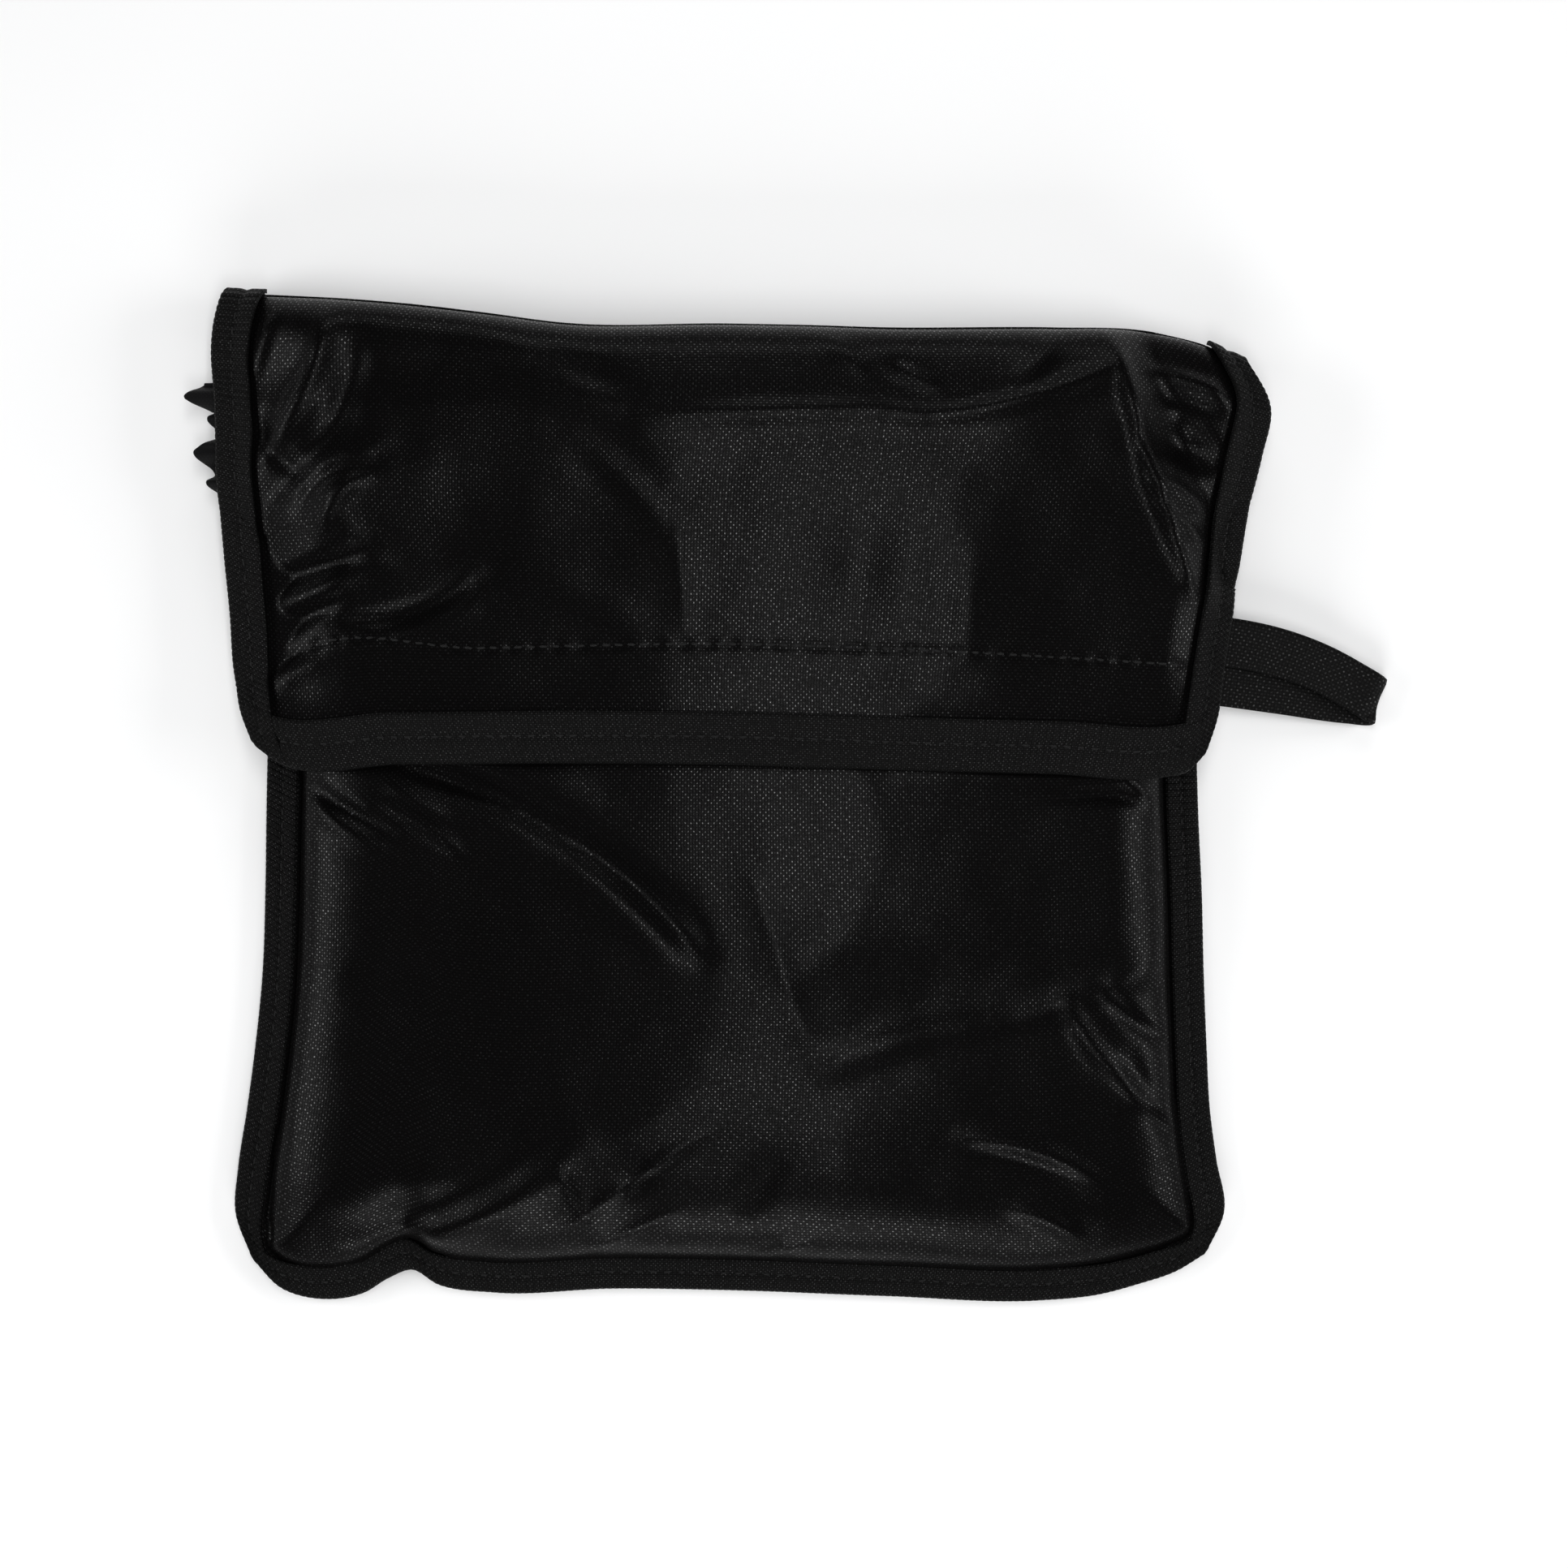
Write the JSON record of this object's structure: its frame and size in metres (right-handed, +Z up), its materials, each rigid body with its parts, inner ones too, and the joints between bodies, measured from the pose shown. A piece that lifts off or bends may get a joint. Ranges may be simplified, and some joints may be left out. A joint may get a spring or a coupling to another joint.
{
  "type": "film changing bag",
  "caption": "Black double-layer film changing bag, folded inside its flap-top nylon storage pouch with taped edges and a webbing hang loop.",
  "frame": {"origin": "middle of the pouch's underside, on the surface it lies on", "axes": "+Z up from the table, +Y towards the fold that the flap turns over, +X towards the hang loop"},
  "size_m": [0.2931, 0.2462, 0.0244],
  "materials": {
    "pouch_cloth": "satin",
    "lining_cloth": "matte",
    "binding_tape": "matte",
    "loop_pile": "matte",
    "hook_pile": "matte",
    "loop_webbing": "matte",
    "bag_cloth": "matte",
    "inner_cloth": "satin",
    "elastic": "matte",
    "zip_tape": "matte",
    "zip_coil": "satin",
    "zip_metal": "satin"
  },
  "bodies": {
    "root": {"back_panel": "pouch_cloth", "back_lining": "lining_cloth", "front_panel": "pouch_cloth", "front_lining": "lining_cloth", "mouth_binding": "binding_tape", "pouch_binding_left": "binding_tape", "pouch_binding_right": "binding_tape", "pouch_binding_foot": "binding_tape", "loop_tape": "loop_pile", "hang_loop_tails": "loop_webbing", "outer_bag_base": "bag_cloth", "inner_bag_base": "inner_cloth", "sleeve_left": "bag_cloth", "sleeve_right": "bag_cloth", "cuff_left": "bag_cloth", "cuff_right": "bag_cloth", "cuff_elastic_left": "elastic", "cuff_elastic_right": "elastic", "inner_bag_top": "inner_cloth", "outer_bag_top": "bag_cloth", "inner_zip_tape": "zip_tape", "inner_zip_coil": "zip_coil", "inner_zip_slider": "zip_metal", "zip_tape_front": "zip_tape", "zip_tape_rear": "zip_tape", "zip_coil": "zip_coil", "zip_stop_open": "zip_metal", "zip_stop_closed": "zip_metal"},
    "flap_riser": {"flap_riser": "pouch_cloth", "flap_riser_lining": "lining_cloth", "riser_binding_left": "binding_tape", "riser_binding_right": "binding_tape"},
    "flap": {"flap_panel": "pouch_cloth", "flap_lining": "lining_cloth", "flap_binding_left": "binding_tape", "flap_binding_right": "binding_tape", "flap_binding_free": "binding_tape", "hook_tape": "hook_pile"},
    "hang_loop": {"hang_loop": "loop_webbing"},
    "zip_slider": {"zip_slider": "zip_metal"},
    "zip_pull": {"zip_pull": "zip_metal"}
  },
  "joints": [
    {"name": "riser_fold", "type": "hinge", "parent": "root", "child": "flap_riser", "pos_m": [0, 0.1235, 0.0009], "axis": [-1, 0, 0], "range_deg": [0, 80]},
    {"name": "flap_fold", "type": "hinge", "parent": "flap_riser", "child": "flap", "pos_m": [0, 0.1235, 0.0235], "axis": [-1, 0, 0], "range_deg": [0, 80]},
    {"name": "hang_loop_swing", "type": "hinge", "parent": "root", "child": "hang_loop", "pos_m": [0.1228, 0.039, 0.00315], "axis": [0, -1, 0], "range_deg": [0, 90]},
    {"name": "zip_slide", "type": "slide", "parent": "root", "child": "zip_slider", "axis": [-1, 0, 0], "range_m": [0, 0.168]},
    {"name": "pull_swivel", "type": "hinge", "parent": "zip_slider", "child": "zip_pull", "pos_m": [0.084, 0.097, 0.0206], "axis": [0, 0, 1], "range_deg": [-35, 35]}
  ],
  "couplings": [
    {"joint": "flap_fold", "follows": "riser_fold", "ratio": 1}
  ]
}
